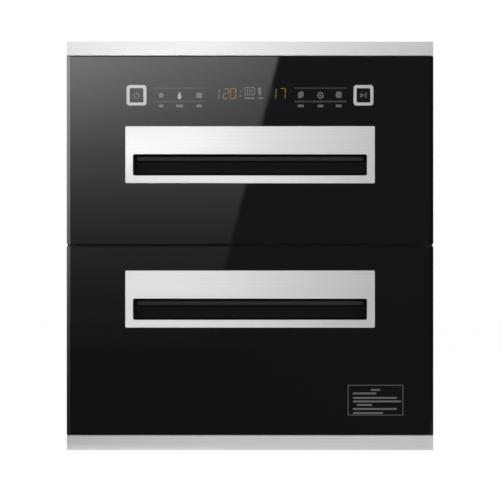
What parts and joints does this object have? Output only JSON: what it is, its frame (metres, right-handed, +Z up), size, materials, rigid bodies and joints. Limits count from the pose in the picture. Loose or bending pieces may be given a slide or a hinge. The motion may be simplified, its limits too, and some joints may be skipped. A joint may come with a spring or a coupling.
{
  "type": "dish sterilizer cabinet",
  "caption": "Built-in kitchen cabinet that dries and disinfects dishes in drawers behind black glass fronts with recessed steel handles, slides, wire baskets, heater, lamp and fan.",
  "frame": {"origin": "middle of the cabinet's base, on the plane of its feet", "axes": "+Z up, the front faces -Y, +X is to the right in a front view"},
  "size_m": [0.596, 0.45, 0.664],
  "materials": {
    "black_glass": "polished black glass, opaque",
    "brushed_strip": "brushed along the front, satin",
    "edge_profile": "anodised, dark satin",
    "inner_steel": "drawn sheet, satin",
    "zinc_sheet": "zinc coated sheet",
    "frame_paint": "dark paint",
    "rail_steel": "zinc plated, bright",
    "basket_wire": "polished wire",
    "reflector": "bright rolled",
    "screw_steel": "zinc plated",
    "black_plastic": "fine grain",
    "white_plastic": "smooth",
    "key_black": "gloss",
    "gasket_rubber": "matt",
    "foot_rubber": "matt",
    "circuit_board": "lacquered board",
    "quartz": "frosted quartz",
    "lamp_glass": "clear tube",
    "ceramic": "glazed ceramic"
  },
  "bodies": {
    "cabinet": {"top_trim_strip": "brushed_strip", "bottom_trim_strip": "brushed_strip", "front_frame": "frame_paint", "right_side_panel": "zinc_sheet", "left_side_panel": "zinc_sheet", "top_panel": "zinc_sheet", "bottom_panel": "zinc_sheet", "back_panel": "zinc_sheet", "casing_screws": "screw_steel", "feet": "foot_rubber", "heater_reflector": "reflector", "heater_tubes": "quartz", "heater_end_caps": "ceramic", "heater_guard": "basket_wire", "ozone_lamp": "lamp_glass", "lamp_holders": "white_plastic", "fan_housing": "black_plastic", "fan_motor": "screw_steel", "fan_grille": "inner_steel", "power_board": "circuit_board", "cable_gland": "black_plastic", "door_switches": "black_plastic", "upper_chamber_liner": "inner_steel", "upper_outer_rail_right": "rail_steel", "upper_outer_rail_left": "rail_steel", "lower_chamber_liner": "inner_steel", "lower_outer_rail_right": "rail_steel", "lower_outer_rail_left": "rail_steel"},
    "upper_drawer": {"upper_glass_front": "black_glass", "upper_door_frame": "edge_profile", "upper_inner_panel": "inner_steel", "upper_door_gasket": "gasket_rubber", "upper_handle_plate": "brushed_strip", "upper_handle_pocket": "black_plastic", "upper_drawer_frame": "inner_steel", "upper_drip_tray": "inner_steel", "upper_dish_basket": "basket_wire", "upper_inner_rail_right": "rail_steel", "upper_inner_rail_left": "rail_steel", "control_board": "circuit_board", "display_module": "black_plastic", "key_bezels": "brushed_strip"},
    "lower_drawer": {"lower_glass_front": "black_glass", "lower_door_frame": "edge_profile", "lower_inner_panel": "inner_steel", "lower_door_gasket": "gasket_rubber", "lower_handle_plate": "brushed_strip", "lower_handle_pocket": "black_plastic", "lower_drawer_frame": "inner_steel", "lower_drip_tray": "inner_steel", "lower_dish_basket": "basket_wire", "lower_inner_rail_right": "rail_steel", "lower_inner_rail_left": "rail_steel"},
    "upper_middle_rails": {"upper_middle_rail_right": "rail_steel", "upper_middle_rail_left": "rail_steel"},
    "lower_middle_rails": {"lower_middle_rail_right": "rail_steel", "lower_middle_rail_left": "rail_steel"},
    "power_key": {"power_key": "key_black"},
    "start_key": {"start_key": "key_black"},
    "fan": {"fan_impeller": "black_plastic"}
  },
  "joints": [
    {"name": "upper_drawer_slide", "type": "slide", "parent": "cabinet", "child": "upper_drawer", "axis": [0, -1, 0], "range_m": [0, 0.32]},
    {"name": "upper_rail_slide", "type": "slide", "parent": "cabinet", "child": "upper_middle_rails", "axis": [0, -1, 0], "range_m": [0, 0.16]},
    {"name": "lower_drawer_slide", "type": "slide", "parent": "cabinet", "child": "lower_drawer", "axis": [0, -1, 0], "range_m": [0, 0.32]},
    {"name": "lower_rail_slide", "type": "slide", "parent": "cabinet", "child": "lower_middle_rails", "axis": [0, -1, 0], "range_m": [0, 0.16]},
    {"name": "power_key_press", "type": "slide", "parent": "upper_drawer", "child": "power_key", "axis": [0, 1, 0], "range_m": [0, 0.001], "stiffness_N_per_m": 900, "springref_m": -0.001},
    {"name": "start_key_press", "type": "slide", "parent": "upper_drawer", "child": "start_key", "axis": [0, 1, 0], "range_m": [0, 0.001], "stiffness_N_per_m": 900, "springref_m": -0.001},
    {"name": "fan_spin", "type": "hinge", "parent": "cabinet", "child": "fan", "pos_m": [0.095, 0.1725, 0.515], "axis": [0, 1, 0], "continuous": true}
  ],
  "couplings": [
    {"joint": "upper_rail_slide", "follows": "upper_drawer_slide", "ratio": 0.5},
    {"joint": "lower_rail_slide", "follows": "lower_drawer_slide", "ratio": 0.5}
  ]
}
